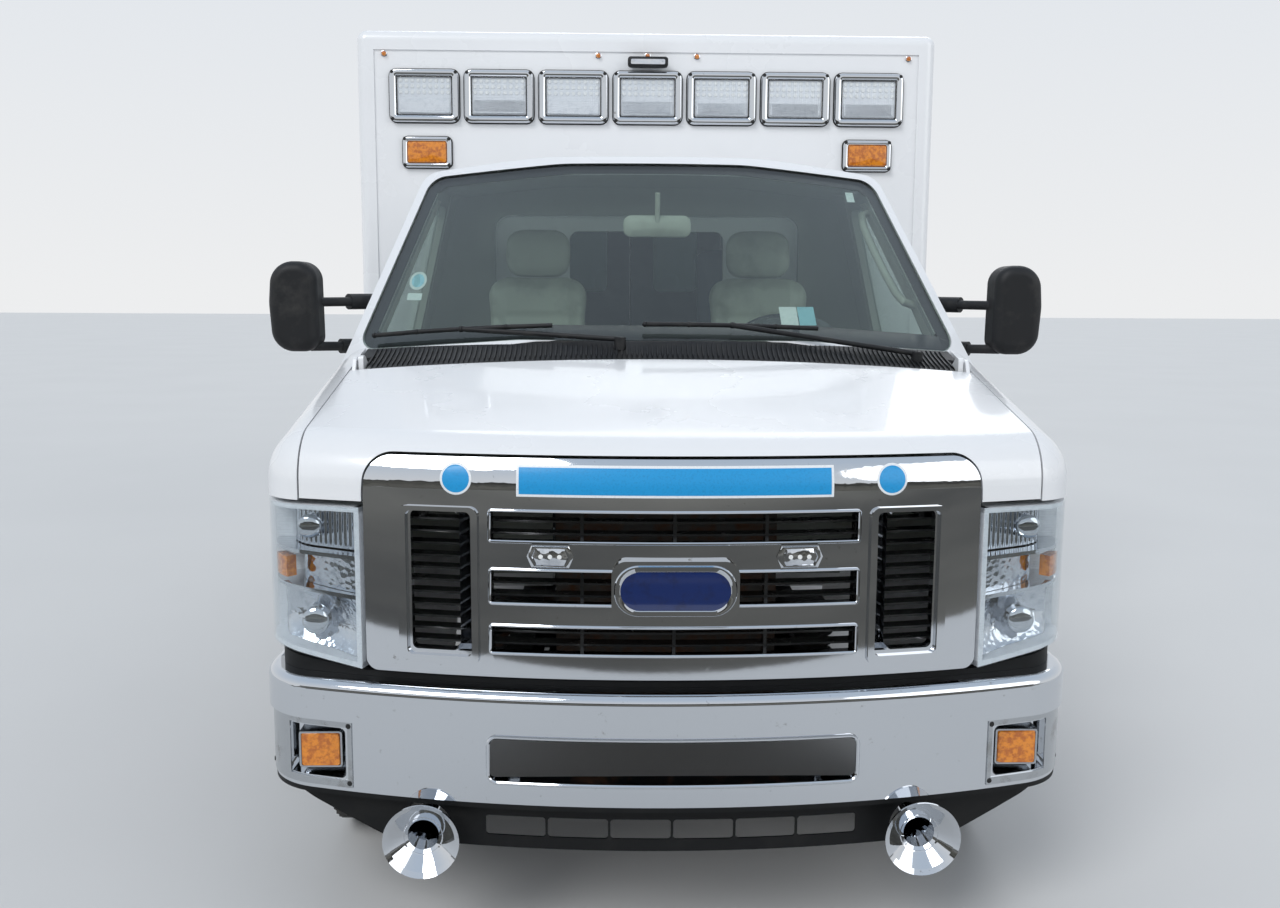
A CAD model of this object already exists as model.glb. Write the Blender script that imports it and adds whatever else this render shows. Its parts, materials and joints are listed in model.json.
import bpy
import bmesh
import json
import math
from mathutils import Matrix, Vector
from mathutils.bvhtree import BVHTree


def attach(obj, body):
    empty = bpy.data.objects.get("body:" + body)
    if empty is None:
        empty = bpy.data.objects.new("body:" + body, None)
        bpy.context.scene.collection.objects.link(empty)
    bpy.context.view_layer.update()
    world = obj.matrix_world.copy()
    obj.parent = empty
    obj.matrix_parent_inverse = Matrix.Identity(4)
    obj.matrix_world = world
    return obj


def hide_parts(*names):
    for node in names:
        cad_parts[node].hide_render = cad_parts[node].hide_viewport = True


# Looks of a van-cab ambulance with a box module. Sizes are in millimetres and y is a station, the distance
# behind the front of the bumper, until at() turns them into the frame's metres.
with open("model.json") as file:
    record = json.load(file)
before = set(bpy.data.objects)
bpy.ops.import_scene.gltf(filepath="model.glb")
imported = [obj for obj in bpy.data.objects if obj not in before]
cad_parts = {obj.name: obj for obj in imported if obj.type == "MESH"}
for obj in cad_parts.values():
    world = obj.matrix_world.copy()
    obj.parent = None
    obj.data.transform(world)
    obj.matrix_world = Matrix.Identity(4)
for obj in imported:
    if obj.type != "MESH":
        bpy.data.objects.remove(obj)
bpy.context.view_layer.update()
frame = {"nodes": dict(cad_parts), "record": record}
nodes = frame["nodes"]
scene = bpy.context.scene
mm = 0.001
overallLength = 6990
bothSides = ((1, "left"), (-1, "right"))
moduleWalls = {"front": 2475.7, "rear": 6740.3, "side": 1219.3}
print("frame loaded:", len(nodes), "nodes")


def at(x, y, z):
    return Vector((x, y - overallLength / 2, z)) * mm


# Materials

def linearColour(code):
    parts = [int(code[i:i + 2], 16) / 255 for i in (1, 3, 5)]
    return tuple(c / 12.92 if c <= 0.04045 else ((c + 0.055) / 1.055) ** 2.4 for c in parts) + (1,)


def addNode(tree, kind, settings=None, inputs=None):
    # settings are the node's own properties; inputs are sockets, each given a value or the socket that feeds it
    node = tree.nodes.new(kind)
    for key, value in (settings or {}).items():
        setattr(node, key, value)
    for key, value in (inputs or {}).items():
        if isinstance(value, bpy.types.NodeSocket):
            tree.links.new(value, node.inputs[key])
        else:
            node.inputs[key].default_value = value
    return node


# a wave of scale 1 repeats every 0.314 m, so ribs need this many times the scale that their spacing gives
waveScale = 3.18


def newMaterial(name):
    material = bpy.data.materials.new(name)
    material.use_nodes = True
    return material, material.node_tree


def makeFinish(name, look):
    # colour and stain mix in patches, roughness follows the patches, and grain is a fine relief
    material, tree = newMaterial(name)
    shader = tree.nodes["Principled BSDF"]
    shader.inputs["Metallic"].default_value = look.get("metallic", 0)
    for socket, value in look.get("sockets", {}).items():
        shader.inputs[socket].default_value = value
    place = addNode(tree, "ShaderNodeTexCoord").outputs["Object"]
    patches = addNode(tree, "ShaderNodeTexNoise", {}, {
        "Vector": place, "Scale": 1000 / look["stainSize"], "Detail": 5, "Roughness": 0.62})
    low, high = look.get("cover", (0.5, 0.8))
    share = addNode(tree, "ShaderNodeMapRange", {}, {
        "Value": patches.outputs[0], "From Min": low, "From Max": high}).outputs[0]
    mix = addNode(tree, "ShaderNodeMix", {"data_type": "RGBA"}, {
        0: share, 6: linearColour(look["colour"]), 7: linearColour(look["stain"])})
    tree.links.new(mix.outputs[2], shader.inputs["Base Color"])
    rough = addNode(tree, "ShaderNodeMapRange", {}, {
        "Value": patches.outputs[0], "From Min": low, "From Max": high,
        "To Min": look["rough"][0], "To Max": look["rough"][1]})
    tree.links.new(rough.outputs[0], shader.inputs["Roughness"])
    stretched = addNode(tree, "ShaderNodeMapping", {}, {"Vector": place, "Scale": look.get("stretch", (1, 1, 1))})
    if look.get("pattern") == "cells":
        grain = addNode(tree, "ShaderNodeTexVoronoi", {}, {
            "Vector": stretched.outputs[0], "Scale": 1000 / look["grain"]}).outputs["Distance"]
    elif look.get("pattern") == "ribs":
        grain = addNode(tree, "ShaderNodeTexWave", {"bands_direction": look.get("ribsAlong", "X")}, {
            "Vector": stretched.outputs[0], "Scale": 1000 / (look["grain"] * waveScale)}).outputs["Fac"]
    else:
        grain = addNode(tree, "ShaderNodeTexNoise", {}, {
            "Vector": stretched.outputs[0], "Scale": 1000 / look["grain"], "Detail": 3}).outputs[0]
    bump = addNode(tree, "ShaderNodeBump", {}, {
        "Strength": look.get("strength", 0.5), "Distance": look["relief"] * mm, "Height": grain})
    tree.links.new(bump.outputs[0], shader.inputs["Normal"])
    return material


finishes = {
    # Decorative chrome plate: near mirror, with specks of dirt and slight waves of the pressed steel under it
    "decorativeChromePlate": dict(colour="#D3D6DA", stain="#8E8A84", stainSize=22, cover=(0.66, 0.8), metallic=1,
                                  rough=(0.045, 0.32), grain=90, relief=0.5, strength=0.12),
    # Satin stainless sheet: soft reflections drawn out along the rolling
    "satinStainless": dict(colour="#B9BCBF", stain="#8D8B87", stainSize=60, cover=(0.55, 0.85), metallic=1,
                           rough=(0.22, 0.42), grain=3, relief=0.05, stretch=(0.05, 0.05, 1), strength=0.4),
    # Rolled aluminium tread plate: bright, scuffed dull where feet land
    "rolledAluminium": dict(colour="#C3C6C9", stain="#96958F", stainSize=140, cover=(0.45, 0.75), metallic=1,
                            rough=(0.28, 0.5), grain=4, relief=0.06, stretch=(1, 0.08, 1), strength=0.4),
    # Grained polypropylene: charcoal, dull, with pale road dust in patches
    "grainedPolypropylene": dict(colour="#1D1E20", stain="#3B3A38", stainSize=70, cover=(0.5, 0.85),
                                 rough=(0.5, 0.75), grain=1.8, relief=0.15, pattern="cells",
                                 sockets={"Specular IOR Level": 0.3}),
    # The same moulding low down and out of the sun: deep black
    "shadedPolypropylene": dict(colour="#0E0F10", stain="#1E1E1D", stainSize=90, cover=(0.5, 0.85),
                                rough=(0.55, 0.75), grain=1.8, relief=0.15, pattern="cells",
                                sockets={"Specular IOR Level": 0.25}),
    # Gloss ABS: black with a soft shine
    "glossBlackAbs": dict(colour="#121314", stain="#242423", stainSize=90, cover=(0.5, 0.85), rough=(0.2, 0.42),
                          grain=5, relief=0.04),
    # EPDM gasket rubber: flat black
    "gasketRubber": dict(colour="#141414", stain="#2C2B29", stainSize=25, rough=(0.7, 0.88), grain=1.5, relief=0.1),
    # Grained vinyl dash skin: dark grey-green
    "dashVinylSkin": dict(colour="#3E4240", stain="#54574F", stainSize=160, cover=(0.5, 0.8), rough=(0.55, 0.7),
                          grain=2.2, relief=0.2, pattern="cells"),
    # Seat vinyl: pale grey-green, leather grain, a little darker where it is sat on
    "seatVinyl": dict(colour="#A3A79B", stain="#84877C", stainSize=180, cover=(0.5, 0.75), rough=(0.42, 0.6),
                      grain=2.6, relief=0.25, pattern="cells"),
    # Bench vinyl of the module: blue-grey, wiped clean
    "benchVinyl": dict(colour="#52606B", stain="#404B54", stainSize=200, cover=(0.5, 0.8), rough=(0.35, 0.5),
                       grain=2.6, relief=0.2, pattern="cells"),
    # Moulded cab trim: pale warm grey
    "mouldedTrim": dict(colour="#A9ACA2", stain="#8F9187", stainSize=120, cover=(0.5, 0.85), rough=(0.5, 0.66),
                        grain=1.6, relief=0.12, pattern="cells"),
    # Acrylic lens, amber: deep orange with cube prisms moulded inside
    "amberAcrylic": dict(colour="#E2891B", stain="#B5600E", stainSize=14, cover=(0.42, 0.6), rough=(0.1, 0.24),
                         grain=6, relief=1.2, pattern="cells", sockets={"Coat Weight": 1.0, "Coat Roughness": 0.04}),
    # Acrylic lens, red: deep and glossy, with the same prisms
    "redAcrylic": dict(colour="#B3121A", stain="#7D0A10", stainSize=14, cover=(0.42, 0.6), rough=(0.1, 0.24),
                       grain=6, relief=1.2, pattern="cells", sockets={"Coat Weight": 1.0, "Coat Roughness": 0.04}),
    # Metallised reflector: bright, faceted in small cells
    "metallisedReflector": dict(colour="#DADDE2", stain="#AEB3BA", stainSize=40, metallic=1, rough=(0.08, 0.2),
                                grain=16, relief=1.6, pattern="cells", strength=0.7),
    # Ribbed reflector of the upper headlamp chamber: bright upright bands
    "ribbedReflector": dict(colour="#D4D8DE", stain="#A6ABB3", stainSize=40, metallic=1, rough=(0.1, 0.22),
                            grain=13, relief=3, pattern="ribs", ribsAlong="X", strength=0.9),
    # LED backing board: pale grey under the clear lens
    "ledBoard": dict(colour="#E6E9EC", stain="#CDD2D7", stainSize=18, rough=(0.3, 0.45), grain=7, relief=0.5,
                     pattern="ribs", ribsAlong="Z", strength=0.8),
    # LED matrix of the amber and red heads: brown cells that darken the lens over them
    "smokedLedBoard": dict(colour="#8A5A22", stain="#5E3B16", stainSize=12, cover=(0.4, 0.6), rough=(0.25, 0.4),
                           grain=9, relief=0.8, pattern="cells"),
    # LED emitters: silvered cups with a white chip
    "ledCup": dict(colour="#F0F1EF", stain="#D9DCDD", stainSize=9, rough=(0.12, 0.2), grain=3, relief=0.1,
                   sockets={"Coat Weight": 0.6}),
    # Tyre rubber: near black, greyed by dust on the shoulders and between the blocks
    "treadRubber": dict(colour="#1C1C1D", stain="#4A4640", stainSize=45, cover=(0.45, 0.8), rough=(0.72, 0.92),
                        grain=3, relief=0.25),
    # Steel wheel in baked silver paint, with brake dust
    "silverWheelPaint": dict(colour="#A7AAAD", stain="#6F6A62", stainSize=55, cover=(0.5, 0.8), metallic=0.65,
                             rough=(0.32, 0.55), grain=4, relief=0.06),
    # Chassis black: brushed-on paint with dust and rust at the edges
    "chassisBlack": dict(colour="#1B1B1C", stain="#5B3E2B", stainSize=80, cover=(0.56, 0.75), rough=(0.5, 0.8),
                         grain=6, relief=0.25, sockets={"Specular IOR Level": 0.25}),
    # Cast iron and forged steel, bare and brown
    "bareCasting": dict(colour="#57534E", stain="#6E4A33", stainSize=50, cover=(0.45, 0.7), metallic=0.5,
                        rough=(0.55, 0.85), grain=2.2, relief=0.4),
    # Aluminised exhaust tube: dull grey that rust is taking over
    "rustedExhaustTube": dict(colour="#8C8780", stain="#7A4B2E", stainSize=60, cover=(0.42, 0.66), metallic=0.6,
                              rough=(0.4, 0.85), grain=3, relief=0.3),
    # High-pressure laminate of the cabinets: off-white with a faint fleck
    "cabinetLaminate": dict(colour="#D9D8D1", stain="#C6C4BB", stainSize=9, cover=(0.52, 0.7), rough=(0.3, 0.4),
                            grain=2, relief=0.03),
    # Baked enamel blue field of the badge
    "blueEnamel": dict(colour="#12275C", stain="#0E1C45", stainSize=30, rough=(0.12, 0.25), grain=20, relief=0.05,
                       sockets={"Coat Weight": 1.0}),
    # Retroreflective film: bright blue with the fine cell pattern of its prisms
    "blueReflectiveFilm": dict(colour="#1C96D3", stain="#1583BC", stainSize=5, rough=(0.28, 0.36), grain=3.5,
                               relief=0.12, pattern="cells"),
    # The same film in white: a pale border that stands out on the plate
    "whiteReflectiveFilm": dict(colour="#E9ECEE", stain="#D6DADD", stainSize=5, rough=(0.28, 0.36), grain=3.5,
                                relief=0.12, pattern="cells"),
    # Cast vinyl stripe, orange-red, gone a little matt
    "orangeVinylStripe": dict(colour="#DD3B22", stain="#B92F1B", stainSize=120, cover=(0.5, 0.8), rough=(0.25, 0.4),
                              grain=5, relief=0.03),
    # Blank sticker paper: pale and matt behind the glass
    "stickerPaper": dict(colour="#DDE3E2", stain="#BFCDCF", stainSize=12, rough=(0.5, 0.6), grain=1.5, relief=0.03),
    # Pale blue sticker paper: a faded tint beside the white
    "blueStickerPaper": dict(colour="#8FC3CF", stain="#79AEBB", stainSize=12, rough=(0.5, 0.6), grain=1.5,
                             relief=0.03),
    # Ceramic frit band baked on the glass: a black frame with a dull shine
    "ceramicFrit": dict(colour="#0D0F10", stain="#191B1C", stainSize=30, rough=(0.35, 0.5), grain=3, relief=0.03),
    # Silvered mirror glass, a little dusty
    "silveredGlass": dict(colour="#E3E7E9", stain="#C9CCCB", stainSize=70, cover=(0.6, 0.85), metallic=1,
                          rough=(0.01, 0.12), grain=60, relief=0.02, strength=0.1),
}
made = {name: makeFinish(name, look) for name, look in finishes.items()}


def addRoadFilm(tree, place, colour, strength):
    # pale grey-brown dust on the lowest half metre, thinner further up
    height = addNode(tree, "ShaderNodeSeparateXYZ", {}, {0: place}).outputs[2]
    low = addNode(tree, "ShaderNodeMapRange", {}, {
        "Value": height, "From Min": 0.35, "From Max": 1.15, "To Min": strength, "To Max": 0.05}).outputs[0]
    splash = addNode(tree, "ShaderNodeTexNoise", {}, {"Vector": place, "Scale": 7, "Detail": 8, "Roughness": 0.7})
    share = addNode(tree, "ShaderNodeMath", {"operation": "MULTIPLY"}, {0: low, 1: splash.outputs[0]})
    return addNode(tree, "ShaderNodeMix", {"data_type": "RGBA"}, {
        0: share.outputs[0], 6: colour, 7: linearColour("#A39A8B")}).outputs[2]


def cabInsideShare(tree, place):
    # 1 on faces at least 25 mm inside the cab's outer skin: its sides, its roof and the plane of the windshield
    across, along, height = addNode(tree, "ShaderNodeSeparateXYZ", {}, {0: place}).outputs[:3]
    x = addNode(tree, "ShaderNodeMath", {"operation": "ABSOLUTE"}, {0: across}).outputs[0]
    wall = addNode(tree, "ShaderNodeMapRange", {}, {
        "Value": height, "From Min": 1.36, "From Max": 2.072, "To Min": 0.984, "To Max": 0.806}).outputs[0]
    roof = addNode(tree, "ShaderNodeMapRange", {}, {
        "Value": x, "From Min": 0.4, "From Max": 0.833, "To Min": 2.096, "To Max": 2.046}).outputs[0]
    square = addNode(tree, "ShaderNodeMath", {"operation": "MULTIPLY"}, {0: x, 1: x}).outputs[0]
    sag = addNode(tree, "ShaderNodeMath", {"operation": "MULTIPLY"}, {0: square, 1: 0.262}).outputs[0]
    leaning = addNode(tree, "ShaderNodeMapRange", {"clamp": False}, {
        "Value": height, "From Min": 1.505, "From Max": 2.082, "To Min": -2.573, "To Max": -1.813}).outputs[0]
    front = addNode(tree, "ShaderNodeMath", {"operation": "ADD"}, {0: leaning, 1: sag}).outputs[0]
    inside = addNode(tree, "ShaderNodeMath", {"operation": "LESS_THAN"}, {0: x, 1: wall}).outputs[0]
    lowest = 0.78
    for low, high in ((height, roof), (front, along), (lowest, height)):
        test = addNode(tree, "ShaderNodeMath", {"operation": "LESS_THAN"}, {0: low, 1: high}).outputs[0]
        inside = addNode(tree, "ShaderNodeMath", {"operation": "MULTIPLY"}, {0: inside, 1: test}).outputs[0]
    return inside


def makePaint(name, cabTrim=False):
    # Two-pack white enamel: bright gloss with a faint orange peel, dust low down and trim grey inside the cab
    material, tree = newMaterial(name)
    shader = tree.nodes["Principled BSDF"]
    shader.inputs["Coat Weight"].default_value = 0.5
    shader.inputs["Coat Roughness"].default_value = 0.06
    place = addNode(tree, "ShaderNodeTexCoord").outputs["Object"]
    cloud = addNode(tree, "ShaderNodeTexNoise", {}, {"Vector": place, "Scale": 2.2, "Detail": 6}).outputs[0]
    tone = addNode(tree, "ShaderNodeMix", {"data_type": "RGBA"}, {
        0: cloud, 6: linearColour("#F0F1F3"), 7: linearColour("#E6E8EA")}).outputs[2]
    colour = addRoadFilm(tree, place, tone, 0.75)
    peel = addNode(tree, "ShaderNodeTexNoise", {}, {"Vector": place, "Scale": 180, "Detail": 2}).outputs[0]
    bump = addNode(tree, "ShaderNodeBump", {}, {"Strength": 0.12, "Distance": 0.0002, "Height": peel}).outputs[0]
    rough = addNode(tree, "ShaderNodeMapRange", {}, {
        "Value": cloud, "From Min": 0.4, "From Max": 0.75, "To Min": 0.24, "To Max": 0.38}).outputs[0]
    if cabTrim:
        inside = cabInsideShare(tree, place)
        colour = addNode(tree, "ShaderNodeMix", {"data_type": "RGBA"}, {
            0: inside, 6: colour, 7: linearColour("#8B8F87")}).outputs[2]
        rough = addNode(tree, "ShaderNodeMix", {"data_type": "FLOAT"}, {0: inside, 2: rough, 3: 0.62}).outputs[0]
    tree.links.new(colour, shader.inputs["Base Color"])
    tree.links.new(rough, shader.inputs["Roughness"])
    tree.links.new(bump, shader.inputs["Normal"])
    return material


def makeClear(name, tint, polish, reflectance=0.04, relief=0, grain=8, ribs=False):
    # Clear glass or plastic: the tint lets light through, and a shine that grows at grazing angles lies over it
    material, tree = newMaterial(name)
    tree.nodes.remove(tree.nodes["Principled BSDF"])
    place = addNode(tree, "ShaderNodeTexCoord").outputs["Object"]
    grazing = addNode(tree, "ShaderNodeLayerWeight", {}, {"Blend": 0.5}).outputs["Facing"]
    edge = addNode(tree, "ShaderNodeMath", {"operation": "POWER"}, {0: grazing, 1: 4.0}).outputs[0]
    shine = addNode(tree, "ShaderNodeMapRange", {}, {"Value": edge, "To Min": reflectance, "To Max": 0.9}).outputs[0]
    film = addNode(tree, "ShaderNodeTexNoise", {}, {"Vector": place, "Scale": 5, "Detail": 7}).outputs[0]
    dust = addNode(tree, "ShaderNodeMapRange", {}, {
        "Value": film, "From Min": 0.35, "From Max": 0.8, "To Min": polish, "To Max": polish + 0.12}).outputs[0]
    through = addNode(tree, "ShaderNodeBsdfTransparent", {}, {0: linearColour(tint)})
    gloss = addNode(tree, "ShaderNodeBsdfGlossy", {}, {"Color": (1, 1, 1, 1), "Roughness": dust})
    if relief:
        kind = "ShaderNodeTexWave" if ribs else "ShaderNodeTexVoronoi"
        pattern = addNode(tree, kind, {}, {"Vector": place, "Scale": 1000 / (grain * (waveScale if ribs else 1))})
        bump = addNode(tree, "ShaderNodeBump", {}, {
            "Strength": 0.8, "Distance": relief * mm, "Height": pattern.outputs["Fac" if ribs else "Distance"]})
        tree.links.new(bump.outputs[0], gloss.inputs["Normal"])
    mix = addNode(tree, "ShaderNodeMixShader", {}, {0: shine, 1: through.outputs[0], 2: gloss.outputs[0]})
    tree.links.new(mix.outputs[0], tree.nodes["Material Output"].inputs[0])
    return material


made["whiteEnamel"] = makePaint("whiteEnamel")
made["cabEnamel"] = makePaint("cabEnamel", cabTrim=True)
made["laminatedGlass"] = makeClear("laminatedGlass", "#EEF4F1", 0.01)  # greenish, clean shine
made["privacyGlass"] = makeClear("privacyGlass", "#5A6461", 0.01)  # dark tint of the module's windows
made["polycarbonateCover"] = makeClear("polycarbonateCover", "#F7F9FA", 0.03, relief=0.35, grain=30)
made["flutedLens"] = makeClear("flutedLens", "#FAFBFC", 0.05, 0.05, relief=0.9, grain=9, ribs=True)

# The finish of every CAD node, by its material slot, and the nodes that differ from their slot
slotFinish = {
    "white_paint": "whiteEnamel", "chrome": "decorativeChromePlate", "stainless": "satinStainless",
    "clear_lens": "metallisedReflector", "amber_lens": "amberAcrylic", "red_lens": "redAcrylic",
    "black_plastic": "grainedPolypropylene", "dash_plastic": "dashVinylSkin", "seat_vinyl": "seatVinyl",
    "glass": "laminatedGlass", "black_steel": "chassisBlack", "cast_metal": "bareCasting",
    "exhaust_steel": "rustedExhaustTube", "aluminium_plate": "rolledAluminium",
    "cabinet_laminate": "cabinetLaminate", "steel_wheel": "silverWheelPaint", "tyre": "treadRubber"}
nodeFinish = {
    "cab_shell": "cabEnamel", "cab_door_left": "cabEnamel", "cab_door_right": "cabEnamel",
    "side_door_glass": "privacyGlass", "rear_door_glass_left": "privacyGlass",
    "rear_door_glass_right": "privacyGlass",
    "steering_wheel": "glossBlackAbs", "grille_insert": "glossBlackAbs", "front_valance": "shadedPolypropylene"}
for part in frame["record"]["subparts"]:
    node = nodes[part["node"]]
    finish = made[nodeFinish.get(part["node"], slotFinish[part["material_slot"]])]
    if not node.material_slots:
        node.data.materials.append(finish)
    for holder in node.material_slots:
        holder.material = finish
# The record's slot of every finer piece, by its finish
print("finishes made:", len(made))


# Mesh helpers. A piece is drawn in one bmesh for each finish, through a place function (u, v, w) -> frame point

def bmeshOf(parts, finish):
    if finish not in parts:
        parts[finish] = bmesh.new()
    return parts[finish]


def facing(x, y, z, out=(0, -1, 0), up=(0, 0, 1)):
    # a flat drawing at a point: u to its right, v up, w out of the surface
    w = Vector(out).normalized()
    u = Vector(up).cross(w).normalized()
    turn = Matrix((u, w.cross(u), w)).transposed().to_4x4()
    matrix = Matrix.Translation(at(x, y, z)) @ turn @ Matrix.Scale(mm, 4)
    return lambda a, b, c: matrix @ Vector((a, b, c))


def roundedBox(width, height, radius, cornerSteps=4):
    points = []
    for k, (sx, sy) in enumerate(((1, 1), (-1, 1), (-1, -1), (1, -1))):
        for i in range(cornerSteps + 1):
            a = math.radians(90 * (k + i / cornerSteps))
            points.append((sx * (width / 2 - radius) + radius * math.cos(a),
                           sy * (height / 2 - radius) + radius * math.sin(a)))
    return points


def circle(radius, sides=32):
    return [(radius * math.cos(math.tau * i / sides), radius * math.sin(math.tau * i / sides)) for i in range(sides)]


def joinRings(bm, rings, loop=False):
    # faces between neighbouring rings of frame points; without a loop the two end rings are capped
    rings = [[bm.verts.new(point) for point in ring] for ring in rings]
    pairs = list(zip(rings, rings[1:])) + ([(rings[-1], rings[0])] if loop else [])
    count = len(rings[0])
    for low, high in pairs:
        for i in range(count):
            j = (i + 1) % count
            bm.faces.new((low[i], low[j], high[j], high[i]))
    if not loop:
        bm.faces.new(list(reversed(rings[0])))
        bm.faces.new(rings[-1])


def stack(parts, finish, place, layers, closed=False):
    # a solid through outlines at rising levels; closed joins the last outline to the first
    joinRings(bmeshOf(parts, finish), [[place(u, v, w) for u, v in points] for points, w in layers], closed)


def boxes(*rows, cornerSteps=4):
    # layers of rounded boxes, each given by its width, height, corner radius and level
    return [(roundedBox(width, height, radius, cornerSteps), level) for width, height, radius, level in rows]


def discs(*rows, sides=24):
    # layers of circles, each given by its radius and level
    return [(circle(radius, sides), level) for radius, level in rows]


def slab(parts, finish, place, across, along, low, high):
    # a closed plate over a grid; low and high are heights, or functions of (u, v) that give them
    def height(level, u, v):
        return level(u, v) if callable(level) else level

    bm = bmeshOf(parts, finish)
    grids = [[[bm.verts.new(place(u, v, height(level, u, v))) for u in across] for v in along]
             for level in (low, high)]
    rows, columns = len(along), len(across)
    for r in range(rows - 1):
        for c in range(columns - 1):
            for k, grid in enumerate(grids):
                face = [grid[r][c], grid[r][c + 1], grid[r + 1][c + 1], grid[r + 1][c]]
                bm.faces.new(face if k else list(reversed(face)))
    rim = [(0, c) for c in range(columns)] + [(r, columns - 1) for r in range(1, rows)]
    rim += [(rows - 1, c) for c in range(columns - 2, -1, -1)] + [(r, 0) for r in range(rows - 2, 0, -1)]
    for (r0, c0), (r1, c1) in zip(rim, rim[1:] + rim[:1]):
        bm.faces.new((grids[0][r0][c0], grids[0][r1][c1], grids[1][r1][c1], grids[1][r0][c0]))


def tube(parts, finish, points, radius, sides=10, loop=False):
    # a round bar through frame points, with a cap at each open end
    rings = []
    count = len(points)
    side = None
    for i, point in enumerate(points):
        before = points[i - 1] if (i or loop) else point
        after = points[(i + 1) % count] if (i < count - 1 or loop) else point
        ahead = (after - before).normalized()
        if side is None:
            side = ahead.orthogonal().normalized()
        side = (side - ahead * side.dot(ahead)).normalized()
        other = ahead.cross(side)
        rings.append([point + (side * math.cos(a) + other * math.sin(a)) * radius * mm
                      for a in (math.tau * k / sides for k in range(sides))])
    joinRings(bmeshOf(parts, finish), rings, loop)


def steps(low, high, count):
    return [low + (high - low) * i / count for i in range(count + 1)]


def roundedPath(points, cornerSteps=5):
    # the points of a closed outline of (u, v, radius) corners, with each corner rounded
    path = []
    count = len(points)
    for i, (u, v, radius) in enumerate(points):
        here = Vector((u, v))
        before, after = (Vector(points[(i + k) % count][:2]) - here for k in (-1, 1))
        half = before.angle(after) / 2
        reach = min(radius / math.tan(half), before.length * 0.49, after.length * 0.49)
        centre = here + (before.normalized() + after.normalized()).normalized() * (reach / math.cos(half))
        a, b = here + before.normalized() * reach - centre, here + after.normalized() * reach - centre
        turn = a.angle_signed(b)
        for k in range(cornerSteps + 1):
            spin = Matrix.Rotation(-turn * k / cornerSteps, 2)
            path.append(centre + spin @ a)
    return path


def denser(path, step):
    points = []
    for a, b in zip(path, path[1:] + path[:1]):
        count = max(1, round((b - a).length / step))
        points += [a.lerp(b, k / count) for k in range(count)]
    return points


sharpAngle = math.radians(38)


def newObject(name, data):
    thing = bpy.data.objects.new(name, data)
    scene.collection.objects.link(thing)
    return thing


def finishPiece(name, mesh, finish, body, replaced=()):
    mesh.materials.clear()
    mesh.materials.append(made[finish])
    piece = newObject(name, mesh)
    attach(piece, body)
    if replaced:
        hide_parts(*replaced)
    return piece


def finishParts(parts, names, body, replaced=()):
    # names gives each finish its piece's name; the first finish stands for the replaced nodes
    for i, (finish, name) in enumerate(names.items()):
        bm = parts[finish]
        bmesh.ops.remove_doubles(bm, verts=bm.verts, dist=1e-6)
        bmesh.ops.recalc_face_normals(bm, faces=bm.faces)
        for face in bm.faces:
            face.smooth = True
        for edge in bm.edges:
            edge.smooth = len(edge.link_faces) == 2 and edge.calc_face_angle(0) < sharpAngle
        mesh = bpy.data.meshes.new(name)
        bm.to_mesh(mesh)
        bm.free()
        finishPiece(name, mesh, finish, body, () if i else replaced)


def evaluatedMesh(thing):
    # the object's mesh with its modifiers applied
    return bpy.data.meshes.new_from_object(thing.evaluated_get(bpy.context.evaluated_depsgraph_get()))


# Geometry Nodes: one tree sets a small cone on every point of a host, turned and sized by the point's attributes

def buildStudTree():
    tree = bpy.data.node_groups.new("studsOnPoints", "GeometryNodeTree")
    tree.interface.new_socket("Geometry", in_out="INPUT", socket_type="NodeSocketGeometry")
    for name, kind in (("Sides", "NodeSocketInt"), ("Base Radius", "NodeSocketFloat"),
                       ("Top Radius", "NodeSocketFloat"), ("Height", "NodeSocketFloat"),
                       ("Material", "NodeSocketMaterial")):
        tree.interface.new_socket(name, in_out="INPUT", socket_type=kind)
    tree.interface.new_socket("Geometry", in_out="OUTPUT", socket_type="NodeSocketGeometry")
    given = addNode(tree, "NodeGroupInput").outputs
    stud = addNode(tree, "GeometryNodeMeshCone", {"fill_type": "NGON"}, {
        "Vertices": given["Sides"], "Radius Top": given["Top Radius"], "Radius Bottom": given["Base Radius"],
        "Depth": given["Height"]})
    outward, along, size = (addNode(tree, "GeometryNodeInputNamedAttribute", {"data_type": "FLOAT_VECTOR"}, {
        "Name": name}).outputs[0] for name in ("outward", "along", "size"))
    turn = addNode(tree, "FunctionNodeAxesToRotation", {"primary_axis": "Z", "secondary_axis": "X"}, {
        0: outward, 1: along})
    spread = addNode(tree, "GeometryNodeInstanceOnPoints", {}, {
        "Points": given["Geometry"], "Instance": stud.outputs["Mesh"], "Rotation": turn.outputs[0], "Scale": size})
    real = addNode(tree, "GeometryNodeRealizeInstances", {}, {0: spread.outputs[0]})
    coloured = addNode(tree, "GeometryNodeSetMaterial", {}, {
        "Geometry": real.outputs[0], "Material": given["Material"]})
    addNode(tree, "NodeGroupOutput", {}, {0: coloured.outputs[0]})
    return tree


studTree = buildStudTree()


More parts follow.
